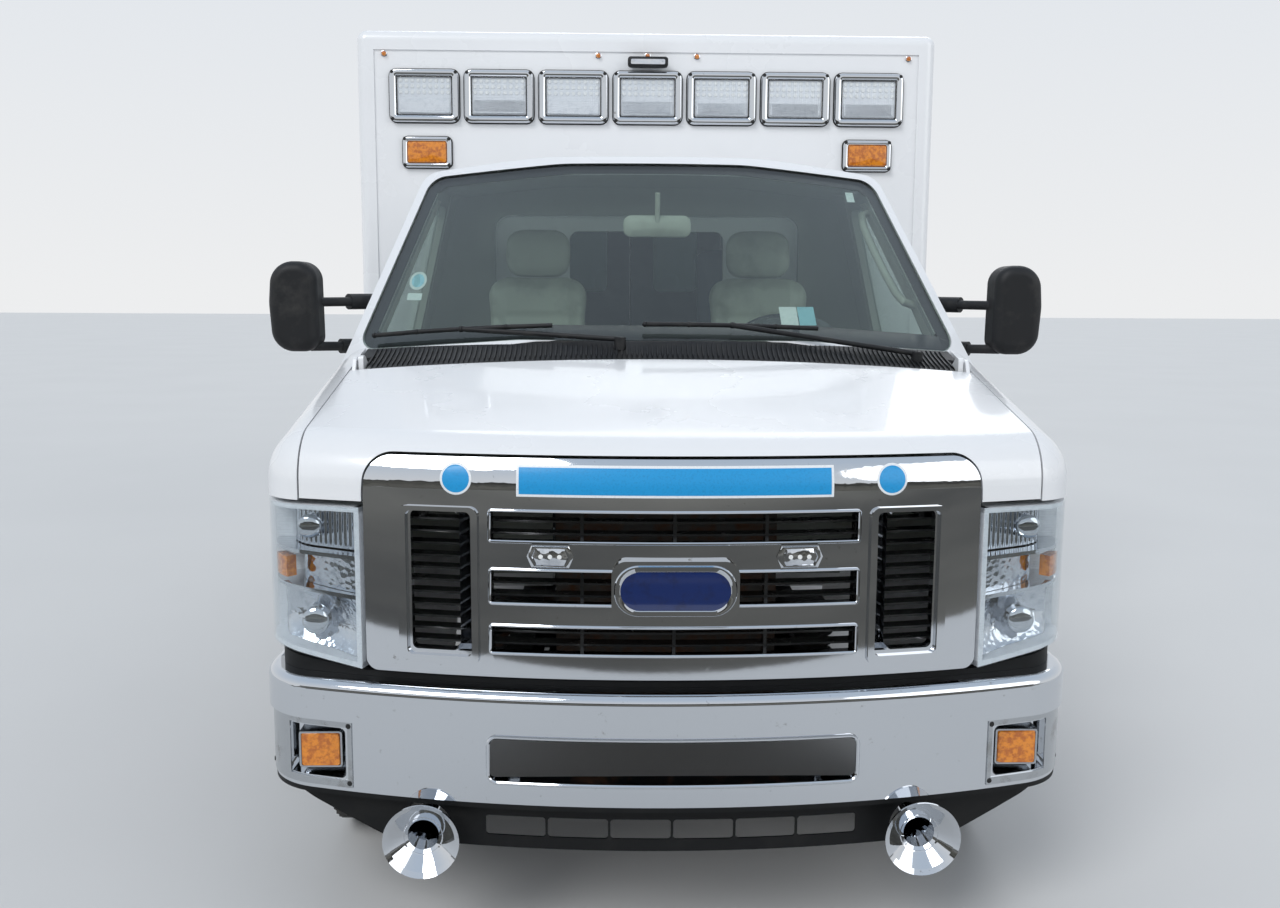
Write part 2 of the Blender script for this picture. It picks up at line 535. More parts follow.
def studs(name, spots, shape, finish, body):
    # spots hold (place, outward, along, size); shape gives sides, base radius, top radius and height
    host = bpy.data.objects.new(name + "Host", bpy.data.meshes.new(name + "Host"))
    host.data.from_pydata([s[0] for s in spots], [], [])
    for column, key in enumerate(("outward", "along", "size"), 1):
        values = host.data.attributes.new(key, "FLOAT_VECTOR", "POINT")
        values.data.foreach_set("vector", [c for s in spots for c in s[column]])
    scene.collection.objects.link(host)
    modifier = host.modifiers.new("studs", "NODES")
    modifier.node_group = studTree
    given = dict(zip(("Sides", "Base Radius", "Top Radius", "Height"), (shape[0], *(v * mm for v in shape[1:]))))
    given["Material"] = made[finish]
    for socket in studTree.interface.items_tree:
        if socket.in_out == "INPUT" and socket.name in given:
            modifier[socket.identifier] = given[socket.name]
    mesh = evaluatedMesh(host)
    bpy.data.objects.remove(host)
    mesh.name = name
    finishPiece(name, mesh, finish, body)


def spot(place, u, v, w):
    # a stud's place on a drawing, with its outward direction, the direction along it and its plain size
    a, b, c = place(u, v, w), place(u + 1, v, w), place(u, v + 1, w)
    return a, (b - a).cross(c - a).normalized(), (b - a).normalized(), (1, 1, 1)


# Curved surfaces of the front, from the same sizes as the frame

nosePlan = {"front": 45, "arc": 3000, "corner": 150, "half": 1018}
noseRoll = {"start": 1180, "fall": 24000, "radius": 130}
bumperPlan = {"front": 0, "arc": 3000, "corner": 190, "half": 1030}


def planPoint(plan, s, proud):
    # a point of the plan at s along it from the middle, moved outwards
    cx = plan["half"] - plan["corner"]
    reach = plan["arc"] - plan["corner"]
    cy = plan["front"] + plan["arc"] - math.sqrt(reach ** 2 - cx ** 2)
    first = math.asin(cx / reach)
    arcEnd = plan["arc"] * first
    cornerEnd = arcEnd + plan["corner"] * (math.pi / 2 - first)
    side, t = (-1 if s < 0 else 1), abs(s)
    if t < arcEnd:
        a = t / plan["arc"]
        r = plan["arc"] + proud
        x, y = r * math.sin(a), plan["front"] + plan["arc"] - r * math.cos(a)
    elif t < cornerEnd:
        a = first + (t - arcEnd) / plan["corner"]
        r = plan["corner"] + proud
        x, y = cx + r * math.sin(a), cy - r * math.cos(a)
    else:
        x, y = plan["half"] + proud, cy + t - cornerEnd
    return side * x, y


def alongPlan(plan, x):
    # how far along the plan a point with this x is, on its wide arc
    return math.copysign(plan["arc"] * math.asin(abs(x) / plan["arc"]), x)


def onNose(s, z, proud):
    # the face is upright up to the roll, which starts lower further out
    x, y = planPoint(nosePlan, s, proud)
    radius = noseRoll["radius"]
    bend = z - (noseRoll["start"] - x * x / noseRoll["fall"])
    if bend > 0:
        y += radius - math.sqrt(max(0, (radius + proud) ** 2 - bend ** 2)) + proud
    return at(x, y, z)


def onGrille(u, v, w):
    # front view coordinates on the grille's face, 6 mm proud of the nose
    return onNose(alongPlan(nosePlan, u), v, 6 + w)


def fromFront(name):
    # a place function on the foremost skin of a CAD node, found by looking at it from straight ahead
    skin = BVHTree.FromObject(nodes[name], bpy.context.evaluated_depsgraph_get())

    def place(u, v, w):
        hit = skin.ray_cast(at(u, -300, v), Vector((0, 1, 0)))[0]
        return (hit if hit else onGrille(u, v, 0)) - Vector((0, w * mm, 0))

    return place


def onBumper(s, z, proud):
    return at(*planPoint(bumperPlan, s, proud), z)


shield = {"low": (880, 1505), "high": (1640, 2082), "radius": 3200}
shieldRise = (shield["high"][1] - shield["low"][1]) / (shield["high"][0] - shield["low"][0])
shieldSlope = math.atan(shieldRise)


def shieldSag(x):
    return (shield["radius"] - math.sqrt(shield["radius"] ** 2 - x * x)) / math.cos(shieldSlope)


def onShield(x, z, inset):
    y = shield["low"][0] + (z - shield["low"][1] + shieldSag(x)) / shieldRise
    return at(x, y + inset / math.sin(shieldSlope), z)


cabSide = {"low": (985, 1425), "high": (833, 2072)}


def cabSideX(z):
    (lowX, lowZ), (highX, highZ) = cabSide["low"], cabSide["high"]
    return lowX + (highX - lowX) * (z - lowZ) / (highZ - lowZ)


# Warning lamps

lampSet = {"gasketProud": 6, "bezelProud": 24, "lensProud": 27, "boardProud": 9, "cornerRadius": 34,
           "large": {"rim": 31, "screwInset": 17}, "small": {"rim": 24, "screwInset": 14},
           "ledRows": 3, "ledColumns": 9, "ledPitch": 24, "screw": (8, 8, 6.5, 3), "ledCup": (10, 9, 7, 3.5)}


def lampHead(parts, screws, place, width, height, lens, board, cups=None):
    # gasket, chrome bezel, board and lens of one head; its screws and LED cups are added to lists
    look = lampSet["large" if height > 200 else "small"]
    rim, proud = look["rim"], lampSet["bezelProud"]
    radius = lampSet["cornerRadius"] * min(1, height / 180)
    stack(parts, "gasketRubber", place, boxes(
        (width, height, radius, 0), (width, height, radius, lampSet["gasketProud"])))
    ring = [(4, 5), (4, proud - 9), (8, proud - 2), (14, proud), (rim - 5, proud - 1), (rim, proud - 5),
            (rim + 2, 8), (rim - 2, 6)]
    bezel = [(width - 2 * inset, height - 2 * inset, max(6, radius - inset), level) for inset, level in ring]
    stack(parts, "decorativeChromePlate", place, boxes(*bezel), closed=True)
    w, h = width - 2 * rim - 2, height - 2 * rim - 2
    stack(parts, board, place, boxes((w, h, 6, 6), (w, h, 6, lampSet["boardProud"])))
    # dark surround between bezel and lens
    surround = [(6, 8), (6, 15), (-9, 15), (-9, 8)]
    stack(parts, "gasketRubber", place, boxes(*((w + a, h + a, 7, level) for a, level in surround)), closed=True)
    stack(parts, lens, place, boxes((w, h, 7, 13), (w, h, 7, 20), (w - 5, h - 5, 7, 25),
                                    (w - 22, h - 22, 7, lampSet["lensProud"])))
    for su in (-1, 1):
        for sv in (-1, 1):
            u, v = su * (width / 2 - look["screwInset"]), sv * (height / 2 - look["screwInset"])
            screws.append(spot(place, u, v, proud - 2))
    if cups is None:
        return
    rows, columns = lampSet["ledRows"], lampSet["ledColumns"]
    for row in range(rows):
        for column in range(columns):
            u = (column - (columns - 1) / 2) * w / (columns + 0.4)
            cups.append(spot(place, u, h / 2 - 17 - row * lampSet["ledPitch"], lampSet["boardProud"]))
    # plain block under the LED rows
    stack(parts, "ledBoard", lambda a, b, c: place(a, b - h * 0.27, c),
          boxes((w * 0.9, h * 0.34, 5, 8), (w * 0.9, h * 0.34, 5, 13)))


def makeWarningLamps():
    parts, screws, cups = {}, [], []
    wall, rear, beside = moduleWalls["front"], moduleWalls["rear"], moduleWalls["side"]
    for i in range(7):
        lampHead(parts, screws, facing(-936 + 312 * i, wall, 2453), 298, 224, "flutedLens", "ledBoard", cups)
    for x in (-928, 936):
        lampHead(parts, screws, facing(x, wall, 2222), 212, 136, "amberAcrylic", "smokedLedBoard")
    for side in (-1, 1):
        for i in range(5):
            place = facing(side * beside, 2880 + 885 * i, 2560, out=(side, 0, 0))
            lampHead(parts, screws, place, 228, 136, "redAcrylic", "smokedLedBoard")
    for x in (-1020, -600, 0, 600, 1020):
        lens = "redAcrylic" if x else "amberAcrylic"
        lampHead(parts, screws, facing(x, rear, 2570, out=(0, 1, 0)), 228, 136, lens, "smokedLedBoard")
    # work lamp over the middle head: cast housing on a bracket, with a clear window
    stack(parts, "grainedPolypropylene", facing(0, 2449, 2592), boxes(
        (160, 38, 12, -8), (168, 42, 12, 8), (168, 42, 12, 30), (158, 32, 10, 34)))
    stack(parts, "grainedPolypropylene", facing(0, wall, 2588), boxes((60, 18, 4, 0), (50, 14, 4, 26)))
    stack(parts, "metallisedReflector", facing(0, 2415, 2592), boxes((146, 24, 6, -2), (142, 20, 6, 0.6)))
    finishParts(parts, {
        "flutedLens": "warning_lamp_clear_lenses", "gasketRubber": "warning_lamp_gaskets",
        "decorativeChromePlate": "warning_lamp_bezels", "ledBoard": "warning_lamp_boards",
        "smokedLedBoard": "warning_lamp_dark_boards", "amberAcrylic": "warning_lamp_amber_lenses",
        "redAcrylic": "warning_lamp_red_lenses", "grainedPolypropylene": "work_lamp_housing",
        "metallisedReflector": "work_lamp_window"}, "body", ["warning_lights"])
    studs("warning_lamp_screws", screws, lampSet["screw"], "gasketRubber", "body")
    studs("warning_lamp_leds", cups, lampSet["ledCup"], "ledCup", "body")


def makeTailLamps():
    parts, screws = {}, []
    for x in (-960, 960):
        for z, lens in ((1000, "metallisedReflector"), (1160, "amberAcrylic"), (1320, "redAcrylic")):
            place = facing(x, moduleWalls["rear"], z, out=(0, 1, 0))
            lampHead(parts, screws, place, 212, 136, lens, "smokedLedBoard")
    finishParts(parts, {
        "redAcrylic": "tail_lamp_red_lenses", "amberAcrylic": "tail_lamp_amber_lenses",
        "metallisedReflector": "tail_lamp_clear_lenses", "gasketRubber": "tail_lamp_gaskets",
        "decorativeChromePlate": "tail_lamp_bezels", "smokedLedBoard": "tail_lamp_boards"}, "body", ["tail_lamps"])
    studs("tail_lamp_screws", screws, lampSet["screw"], "gasketRubber", "body")


makeWarningLamps()
makeTailLamps()
print("warning lamps made")


# Bumper lamps, marker lamps and the satin end plates of the bumper

# an edge or a pocket is given by its two ends along the bumper and its lowest and highest height
endPlate = {"edge": (786, 1122, 430, 597), "pocket": (797, 958, 449, 583), "proud": -8.8, "screw": (10, 7, 5, 3)}


def makeBumperTrim():
    parts, screws = {}, []
    plate, pocket = endPlate["edge"], endPlate["pocket"]
    for side in (-1, 1):
        place = facing(side * 870, 215, 512)
        stack(parts, "amberAcrylic", place, boxes((100, 88, 6, 8), (100, 88, 6, 50), (92, 80, 6, 60)))
        stack(parts, "satinStainless", place, boxes(
            (110, 96, 8, 2), (110, 96, 8, 52), (106, 92, 8, 56), (97, 84, 5, 56), (97, 84, 5, 4)), closed=True)
        # end plate: a flat frame on the bumper's lower band, round the pocket
        s0, s1 = alongPlan(bumperPlan, plate[0]), plate[1]
        p0, p1 = (alongPlan(bumperPlan, x) for x in pocket[:2])
        for a0, a1, z0, z1 in ((s0, p0, *plate[2:]), (p1, s1, *plate[2:]), (p0, p1, plate[2], pocket[2]),
                               (p0, p1, pocket[3], plate[3])):
            across = steps(side * a0, side * a1, max(2, round(abs(a1 - a0) / 12)))
            slab(parts, "satinStainless", onBumper, across, [z0, z1], -12, endPlate["proud"])
        for s in (s0 + 8, s1 - 12):
            for z in (plate[2] + 11, plate[3] - 10):
                screws.append(spot(onBumper, side * s, z, endPlate["proud"] - 0.2))
    # bright lip round the middle slot
    slot = denser(roundedPath([(-446, 474, 22), (446, 474, 22), (446, 588, 22), (-446, 588, 22)]), 50)
    lip = [onBumper(alongPlan(bumperPlan, p.x), p.y, -10.5) for p in slot]
    tube(parts, "decorativeChromePlate", lip, 5, 8, loop=True)
    for x in (-1102, -207, 0, 207, 1102):
        place = facing(x, moduleWalls["front"], 2624)
        stack(parts, "decorativeChromePlate", place, discs((13, 0), (13, 3), (11, 4), sides=20))
        stack(parts, "amberAcrylic", place, discs((10, 3), (10, 9), (8.6, 12.5), (5, 15.3), (1.5, 16), sides=20))
    finishParts(parts, {
        "amberAcrylic": "amber_lamp_lenses", "satinStainless": "bumper_end_plates",
        "decorativeChromePlate": "marker_lamp_rings"}, "body", ["amber_lamps"])
    studs("bumper_plate_screws", screws, endPlate["screw"], "gasketRubber", "body")


# Headlamps: clear cover, upper ribbed chamber, amber reflector, lower bowl and the shelves between

headlamp = {"inner": 768.4, "outer": 1145, "bottom": 723, "rise": 0.174, "top": 1124, "deep": 88,
            "shelves": (1000, 905), "rim": 13}


def makeHeadlamps():
    parts = {}
    deep, rim = headlamp["deep"], headlamp["rim"]
    first, last = headlamp["inner"], headlamp["outer"]
    inner, outer = first + rim, last - rim
    middle = (inner + outer) / 2 - 40

    def place(s, v, w):
        # s runs along the nose, v from 0 at the lower edge, which rises outwards, to 1 at the top
        low = headlamp["bottom"] + headlamp["rise"] * (abs(planPoint(nosePlan, s, 0)[0]) - 760)
        return onNose(s, low + (headlamp["top"] - low) * v, w)

    def high(z):
        return (z - 740) / (headlamp["top"] - 740)

    def middleDish(u, v):
        return -60 + 26 * math.cos((abs(u) - inner) / (outer - inner) * math.pi)

    def bowl(u, v):
        r = ((abs(u) - middle) / 170) ** 2 + ((v - 0.22) / 0.24) ** 2
        return -80 + 46 * min(1, r)

    for side in (-1, 1):
        whole = steps(side * first, side * last, 26)
        slab(parts, "polycarbonateCover", place, whole, steps(0, 1, 10), -3.5, -0.5)
        # housing behind, and the frosted rim round the edge of the cover
        slab(parts, "grainedPolypropylene", place, whole, steps(0, 1, 6), -deep - 4, -deep)
        shareRim = rim / 400
        for across, along in ((whole, [0, shareRim]), (whole, [1 - shareRim, 1]),
                              ([side * first, side * inner], [0, 0.5, 1]),
                              ([side * outer, side * last], [0, 0.5, 1])):
            slab(parts, "ledBoard", place, across, along, -deep, -4)
        # upper chamber, middle chamber and lower bowl, with a shelf between each two
        across = steps(side * inner, side * outer, 22)
        slab(parts, "ribbedReflector", place, across, steps(high(1008), 0.965, 4), -84, -62)
        slab(parts, "metallisedReflector", place, across, steps(high(911), high(994), 4), -84, middleDish)
        slab(parts, "metallisedReflector", place, across, steps(0.035, high(899), 14), -86, bowl)
        for z in headlamp["shelves"]:
            slab(parts, "decorativeChromePlate", place, across, [high(z - 5), high(z + 5)], -84, -14)
        slab(parts, "amberAcrylic", place, steps(side * 985, side * 1050, 6), [high(925), high(980)], -40, -12)
        # bulb shield in the bowl, and the round high beam lens above
        for s, z, r in ((middle, 822, 34), (middle + 10, 1062, 30)):
            x, y = planPoint(nosePlan, side * s, -44)
            stack(parts, "decorativeChromePlate", facing(x, y, z), discs((r, -30), (r, 2), (r - 3, 5), (r * 0.55, 9)))
    finishParts(parts, {
        "polycarbonateCover": "headlamp_covers", "ledBoard": "headlamp_rims",
        "grainedPolypropylene": "headlamp_housings", "ribbedReflector": "headlamp_upper_reflectors",
        "metallisedReflector": "headlamp_lower_reflectors", "decorativeChromePlate": "headlamp_shelves",
        "amberAcrylic": "headlamp_amber_reflectors"}, "body", ["headlamps"])


# Grille trim: bright lips round the openings, two small lights, the badge field and the reflective film

def makeGrilleTrim():
    parts, leds = {}, []
    for z0, z1 in ((1058, 1132), (908, 991), (786, 855)):
        path = roundedPath([(-437, z0, 6), (437, z0, 6), (437, z1, 6), (-437, z1, 6)], 3)
        tube(parts, "decorativeChromePlate", [onGrille(p.x, p.y, 1.0) for p in denser(path, 60)], 4, 8, loop=True)

    def hexagon(share):
        return [(u * share, v * share) for u, v in ((55, 0), (44, 26), (-44, 26), (-55, 0), (-44, -26), (44, -26))]

    # a small six-sided light on the upper bar at each side of the badge
    for x in (-293, 293):
        def place(u, v, w, x=x):
            return onGrille(x + u, 1024.5 + v, w)

        case = [(1, 0), (1, 4), (0.9, 7.5), (0.78, 7.5), (0.74, 3)]
        stack(parts, "decorativeChromePlate", place, [(hexagon(share), level) for share, level in case], closed=True)
        lens = [(0.76, 1), (0.76, 4), (0.62, 6)]
        stack(parts, "metallisedReflector", place, [(hexagon(share), level) for share, level in lens])
        leds += [spot(place, u, 0, 5.5) for u in (-22, 0, 22)]
    badge = facing(0, 18, 950)
    stack(parts, "decorativeChromePlate", badge, boxes(
        (285, 118, 56, 0), (288, 121, 57, 3), (284, 117, 56, 6), (262, 96, 46, 6), (256, 90, 44, 3.5),
        cornerSteps=10))
    stack(parts, "blueEnamel", badge, boxes(
        (257, 91, 44, 3), (257, 91, 44, 5), (230, 70, 34, 6.6), cornerSteps=10))
    # plain reflective band and two discs on the upper edge: the blue film lies on the white and leaves a border
    skin = fromFront("grille")
    for finish, border, low, high in (("whiteReflectiveFilm", 0, 0.2, 1.1), ("blueReflectiveFilm", 1, 0.4, 1.7)):
        slab(parts, finish, skin, steps(-373 + 6 * border, 373 - 6 * border, 30),
             steps(1166 + 6 * border, 1240 - 6 * border, 8), low, high)
        radius = 38 - 5 * border
        for x in (-517, 516):
            rings = [(0.2, low), (0.4, low), (0.6, low), (0.8, low), (1, low), (0.97, high), (0.8, high),
                     (0.6, high), (0.4, high), (0.2, high)]
            stack(parts, finish, lambda u, v, w, x=x: skin(x + u, 1204 + v, w),
                  discs(*((radius * share, level) for share, level in rings), sides=32))
    finishParts(parts, {
        "decorativeChromePlate": "grille_trim", "metallisedReflector": "grille_light_lenses",
        "blueEnamel": "grille_badge_field", "whiteReflectiveFilm": "grille_film_borders",
        "blueReflectiveFilm": "grille_film"}, "body")
    studs("grille_light_leds", leds, (10, 6, 4.5, 2), "ledCup", "body")


makeBumperTrim()
makeHeadlamps()
makeGrilleTrim()
print("front lamps and grille trim made")


# Windshield: frit band, stickers, mirror and the trim of the pillar. Cowl fins in front of it

windshieldEdge = [(430, 1497, 700), (947, 1458, 40), (808, 2052, 75), (330, 2098, 900), (-330, 2098, 900),
                  (-808, 2052, 75), (-947, 1458, 40), (-430, 1497, 700)]
frit = {"inset": 10.6, "sticker": 13.4, "thickness": 0.6, "margin": 1.5, "side": 34, "top": 40, "bottom": 44}


def makeWindshieldTrim():
    parts = {}
    # frit band: a thin ring that follows the glass, as wide as its edge asks
    outer = denser(roundedPath(windshieldEdge, 8), 30)
    rings = []
    for i, p in enumerate(outer):
        ahead = (outer[(i + 1) % len(outer)] - outer[i - 1]).normalized()
        inward = Vector((-ahead.y, ahead.x))
        if inward.dot(Vector((0, 1780)) - p) < 0:
            inward = -inward
        width = frit["side"] * abs(inward.x) + frit["bottom" if inward.y > 0 else "top"] * abs(inward.y)
        p, q = p + inward * frit["margin"], p + inward * width
        rings.append([onShield(r.x, r.y, frit["inset"] + d)
                      for r, d in ((p, 0), (q, 0), (q, frit["thickness"]), (p, frit["thickness"]))])
    joinRings(bmeshOf(parts, "ceramicFrit"), rings, loop=True)

    def inner(u, v, w):
        return onShield(u, v, frit["sticker"] - w)

    # blank stickers inside the glass
    for finish, x0, x1, z0, z1, count in (
            ("stickerPaper", 374, 430, 1542, 1598, 3), ("blueStickerPaper", 433, 487, 1542, 1598, 3),
            ("stickerPaper", -815, -765, 1612, 1634, 2), ("stickerPaper", 694, 724, 1966, 2004, 2)):
        slab(parts, finish, inner, steps(x0, x1, count), steps(z0, z1, count), 0, 0.6)
    for finish, radius, low, high in (("stickerPaper", 30, 0, 0.6), ("blueStickerPaper", 22, 0.5, 1)):
        stack(parts, finish, lambda u, v, w: inner(-788 + u, 1675 + v, w), discs((radius, low), (radius, high)))
    # inside mirror on its stalk
    mirror = facing(10, 1560, 1872, out=(0, -1, 0.12))
    stack(parts, "mouldedTrim", mirror, boxes(
        (228, 66, 22, -14), (238, 76, 26, -8), (236, 74, 26, 4), (200, 44, 18, 16), (90, 20, 9, 20)))
    tube(parts, "mouldedTrim", [mirror(0, 10, 14), mirror(0, 60, 20), onShield(10, 1985, 14)], 9)
    stack(parts, "silveredGlass", mirror, boxes((226, 64, 21, -15.2), (226, 64, 21, -14)))
    # pillar trim on both sides, and a grab handle on the driver's side
    for side in (-1, 1):
        def pillar(u, v, w, side=side):
            # u from 0 at the glass to 1 further back, v is the height
            point = onShield(cabSideX(v) - 56, v, 60)
            return Vector((side * (point.x - w * mm), point.y + u * 0.11, point.z))

        slab(parts, "mouldedTrim", pillar, [0, 0.5, 1], steps(1500, 1975, 8), 0, 10)
    handle = [(0.4, 1935, 12), (0.2, 1925, 44), (0.2, 1880, 58), (0.2, 1800, 62), (0.2, 1720, 62), (0.2, 1640, 56),
              (0.2, 1612, 42), (0.4, 1602, 12)]
    tube(parts, "mouldedTrim", [pillar(*point) for point in handle], 14, 12)
    finishParts(parts, {
        "ceramicFrit": "windshield_frit", "stickerPaper": "windshield_stickers",
        "blueStickerPaper": "windshield_blue_stickers", "mouldedTrim": "cab_inside_trim",
        "silveredGlass": "inside_mirror_glass"}, "body")


cowlFins = {"pitch": 15, "half": 870, "width": 5.5, "share": 0.82, "height": 6}


def makeCowlFins():
    fins = []
    for i in range(int(2 * cowlFins["half"] / cowlFins["pitch"]) + 1):
        x = i * cowlFins["pitch"] - cowlFins["half"]
        lowZ = 1497 - 36 * (x / 910) ** 2
        front = at(x, 796, 1441 - x * x / 23000)
        rear = at(x, 880 + (lowZ - 1505 + shieldSag(x)) / shieldRise + 6, lowZ + 2)
        run = rear - front
        out = Vector((0, -run.z, run.y)).normalized()
        length = run.length / mm * cowlFins["share"] / 20
        fins.append((front + run * 0.5, out, run.normalized(), (length, cowlFins["width"] / 17.3, 1)))
    studs("cowl_fins", fins, (6, 10, 8.6, cowlFins["height"]), "grainedPolypropylene", "body")


makeWindshieldTrim()
print("windshield and cowl made")


# Wheels

tyreSize = {"radius": 372, "width": 223, "rimRadius": 205, "flange": 17, "beadHalf": 74.7, "rimHalf": 85.3,
            "treadDepth": 9, "rows": 5, "blocks": 56, "segments": 72}
frontHub = (955, 372)
rearHub = (4968, 372)


def tyreProfile():
    # half section from the bead to the crown as (x, radius)
    t = tyreSize
    flange = t["rimRadius"] + t["flange"] + 0.4
    wall = t["radius"] - flange
    half = t["width"] / 2
    base = t["radius"] - t["treadDepth"]
    return [(t["beadHalf"] - 2, t["rimRadius"] + 1), (t["beadHalf"] - 1, flange), (t["rimHalf"] + 1, flange + 2),
            (half - 16, flange + wall * 0.16), (half - 5, flange + wall * 0.34), (half - 0.5, flange + wall * 0.48),
            (half - 2, flange + wall * 0.62), (half - 3, flange + wall * 0.66), (half - 8, flange + wall * 0.78),
            (half - 16, base - 6), (half - 27, base), (60, base + 1), (30, base + 2)]


def addTyre(parts, blocks, x, hub):
    half = tyreProfile()
    profile = half + [(-px, r) for px, r in reversed(half)]
    angles = [math.tau * i / tyreSize["segments"] for i in range(tyreSize["segments"])]
    rings = [[at(x + px, hub[0] + r * math.cos(a), hub[1] + r * math.sin(a)) for px, r in profile] for a in angles]
    joinRings(bmeshOf(parts, "treadRubber"), rings, loop=True)
    rows = tyreSize["rows"]
    middleRow = (rows - 1) / 2
    for row in range(rows):
        offset = (row - middleRow) * (tyreSize["width"] - 52) / rows
        edge = abs(row - middleRow) == middleRow
        r = tyreSize["radius"] - tyreSize["treadDepth"] - (4 if edge else 1.8)
        for i in range(tyreSize["blocks"]):
            a = math.tau * (i + 0.5 * (row % 2)) / tyreSize["blocks"]
            out = Vector((0, math.cos(a), math.sin(a)))
            skew = Vector((1, -out.z * 0.16, out.y * 0.16)).normalized()
            place = at(x + offset, hub[0] + r * out.y, hub[1] + r * out.z)
            blocks.append((place, out, skew, (1.12 if edge else 0.98, 1, 1)))


def makeTyres():
    block = (4, 21.5, 20, tyreSize["treadDepth"] + 1)
    for side, word in bothSides:
        for label, hub, centres, body in (("front_tyre_", frontHub, (882,), "front_wheel_"),
                                          ("rear_tyres_", rearHub, (1076, 814), "rear_wheels_")):
            parts, blocks = {}, []
            for x in centres:
                addTyre(parts, blocks, side * x, hub)
            name = label + word
            finishParts(parts, {"treadRubber": name + "_carcass"}, body + word, [name])
            studs(name + "_tread", blocks, block, "treadRubber", body + word)


def makeWheelTrim():
    # bright lug nuts
    for side, word in bothSides:
        for hub, faceX, ring, body in ((frontHub, 962, 84, "front_wheel_"), (rearHub, 1031, 96, "rear_wheels_")):
            nuts = []
            for i in range(8):
                a = math.radians(45 * i)
                place = at(side * (faceX - 24), hub[0] + ring * math.cos(a), hub[1] + ring * math.sin(a))
                nuts.append((place, (side, 0, 0), (0, 1, 0), (1, 1, 1)))
            studs(body + word + "_nuts", nuts, (6, 16, 13, 30), "decorativeChromePlate", body + word)


makeTyres()
makeWheelTrim()
makeCowlFins()
print("wheels made")


# Mirrors, door handles and small trim of the doors

def makeDoorTrim():
    for side, word in bothSides:
        parts = {}
        # mirror glass on the rear face of the head: tall pane over a small wide-angle one
        for z0, z1 in ((1545, 1712), (1468, 1532)):
            place = facing(side * 1163, 1235, (z0 + z1) / 2, out=(0, 1, 0))
            stack(parts, "silveredGlass", place, boxes((120, z1 - z0, 18, 0), (120, z1 - z0, 18, 2.2)))
        # outer handle in its cup
        cup = facing(side * 1017.5, 2085, 1235, out=(side, 0, 0))
        stack(parts, "grainedPolypropylene", cup, boxes((150, 62, 20, 0), (150, 62, 20, 2.5), (120, 40, 14, 1)))
        stack(parts, "glossBlackAbs", cup, boxes((138, 26, 12, 2), (138, 26, 12, 9), (120, 16, 8, 12)))

        def panel(u, v, w, side=side):
            return at(side * (966 - w), u, v)

        # inner door panel with its arm rest
        slab(parts, "mouldedTrim", panel, steps(1420, 2120, 4), steps(1010, 1400, 4), 0, 8)
        slab(parts, "dashVinylSkin", panel, steps(1480, 1960, 4), [1120, 1150, 1175], 6, 58)
        names = {"silveredGlass": "mirror_glass_", "grainedPolypropylene": "cab_handle_cup_",
                 "glossBlackAbs": "cab_handle_", "mouldedTrim": "cab_door_panel_", "dashVinylSkin": "cab_arm_rest_"}
        finishParts(parts, {finish: name + word for finish, name in names.items()}, "cab_door_" + word)


# side, first and last station, lowest and highest height of each outside door
moduleDoors = {
    "locker_door_left_front": (1, 2580, 3180, 560, 2230), "locker_door_left_middle": (1, 3300, 4360, 560, 1130),
    "locker_door_left_rear": (1, 5560, 6600, 560, 1330), "locker_door_right_rear": (-1, 5900, 6600, 560, 2230),
    "side_door": (-1, 2640, 3450, 560, 2470)}


def makeModuleHandles():
    # polished paddle and frame in the recess of each outside door, and a seal line just inside the door's edge
    for body, (side, y0, y1, z0, z1) in moduleDoors.items():
        parts = {}
        addHandle(parts, facing(side * 1219, y1 - 125, min((z0 + z1) / 2, 1350), out=(side, 0, 0)), 150, 104)
        middle = facing(side * 1219, (y0 + y1) / 2, (z0 + z1) / 2, out=(side, 0, 0))
        u, v = (y1 - y0) / 2 - 8, (z1 - z0) / 2 - 8
        seal = roundedPath([(-u, -v, 34), (u, -v, 34), (u, v, 34), (-u, v, 34)], 4)
        tube(parts, "gasketRubber", [middle(p.x, p.y, -45) for p in seal], 3, 6, loop=True)
        finishParts(parts, {"decorativeChromePlate": body + "_handle", "gasketRubber": body + "_seal"}, body)
    for side, word in bothSides:
        parts = {}
        addHandle(parts, facing(side * 95, 6740, 1350, out=(0, 1, 0)), 122, 132)
        names = {"decorativeChromePlate": "rear_door_handle_" + word}
        if side > 0:
            # rubber strip on the left door, which closes the gap between the two
            slab(parts, "gasketRubber", lambda u, v, w: at(u, 6708 + w, v), [-5.4, 0, 6], steps(814, 2466, 8), 0, 14)
            names["gasketRubber"] = "rear_door_strip"
        finishParts(parts, names, "rear_door_" + word)


def addHandle(parts, place, width, height):
    stack(parts, "decorativeChromePlate", place, boxes(
        (width, height, 16, 0), (width, height, 16, 2), (width - 8, height - 8, 12, 3.5),
        (width - 22, height - 22, 8, 3), (width - 24, height - 24, 8, -12)), closed=True)
    stack(parts, "decorativeChromePlate", place, boxes(
        (width * 0.56, height * 0.44, 8, -8), (width * 0.56, height * 0.44, 8, -3),
        (width * 0.46, height * 0.34, 6, 0)))


# Side stripe in orange-red film on the front fenders and the cab doors

stripe = {"height": (1060, 1128), "fender": (372, 1136), "door": (1156, 2190)}


def makeStripes():
    for side, word in bothSides:
        def place(u, v, w, side=side):
            return at(side * (1018 + w), u, v)

        for name, (y0, y1), body in (("stripe_fender_", stripe["fender"], "body"),
                                     ("stripe_door_", stripe["door"], "cab_door_" + word)):
            parts = {}
            slab(parts, "orangeVinylStripe", place, steps(y0, y1, 12), steps(*stripe["height"], 3), 0.3, 0.9)
            finishParts(parts, {"orangeVinylStripe": name + word}, body)


makeDoorTrim()
makeModuleHandles()
makeStripes()
print("door trim made")


